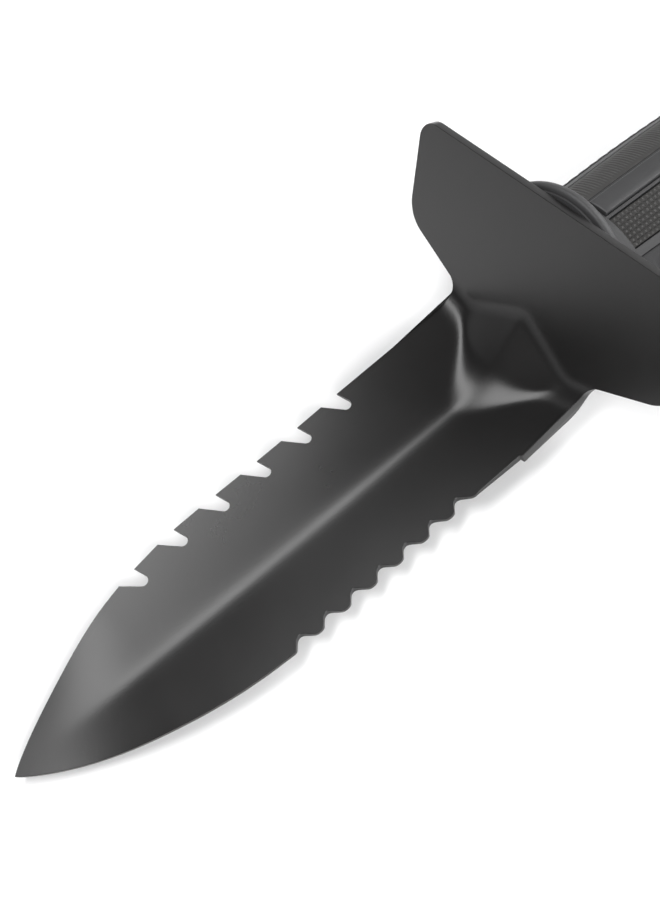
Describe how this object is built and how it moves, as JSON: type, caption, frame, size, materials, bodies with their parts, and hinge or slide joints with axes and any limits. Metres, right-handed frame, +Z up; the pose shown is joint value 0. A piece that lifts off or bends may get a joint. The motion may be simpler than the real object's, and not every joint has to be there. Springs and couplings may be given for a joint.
{
  "type": "detecting shovel",
  "caption": "Hand digger with a pressed, ridged spear blade toothed on both edges, a leaning hand guard and a straight grip on a welded tang.",
  "frame": {"origin": "middle of the tool's footprint, at the surface it lies on", "axes": "+Z up, -Y towards the blade's point, +Y towards the butt, +X to the right seen from the butt"},
  "size_m": [0.1084, 0.3217, 0.0547],
  "materials": {
    "coated_steel": "smooth satin black coating",
    "bare_steel": "bare rolled steel",
    "weld": "weld bead under the coating",
    "fastener_steel": "turned steel",
    "insert_brass": "turned brass",
    "grip_plastic": "moulded, fine grain",
    "bar_plastic": "moulded, smooth satin",
    "textured_grip": "checkered",
    "soft_grip": "matt, soft"
  },
  "bodies": {
    "root": {"blade_and_guard": "coated_steel", "tang": "bare_steel", "weld_bead_upper": "weld", "weld_bead_lower": "weld", "collar_gasket": "soft_grip", "collar_flange": "grip_plastic", "grip_half_upper": "grip_plastic", "grip_half_lower": "grip_plastic", "spine_bar_upper": "bar_plastic", "spine_bar_lower": "bar_plastic", "grip_panel_upper_left": "textured_grip", "grip_panel_upper_right": "textured_grip", "grip_panel_lower_left": "textured_grip", "grip_panel_lower_right": "textured_grip", "side_grip_left": "soft_grip", "side_grip_right": "soft_grip", "grip_screw_1": "fastener_steel", "grip_screw_2": "fastener_steel", "grip_screw_3": "fastener_steel", "screw_insert_1": "insert_brass", "screw_insert_2": "insert_brass", "screw_insert_3": "insert_brass", "lanyard_tube": "fastener_steel", "butt_spacer": "soft_grip", "butt_cap": "grip_plastic", "stud_washer": "fastener_steel", "stud_nut": "fastener_steel"}
  },
  "joints": []
}
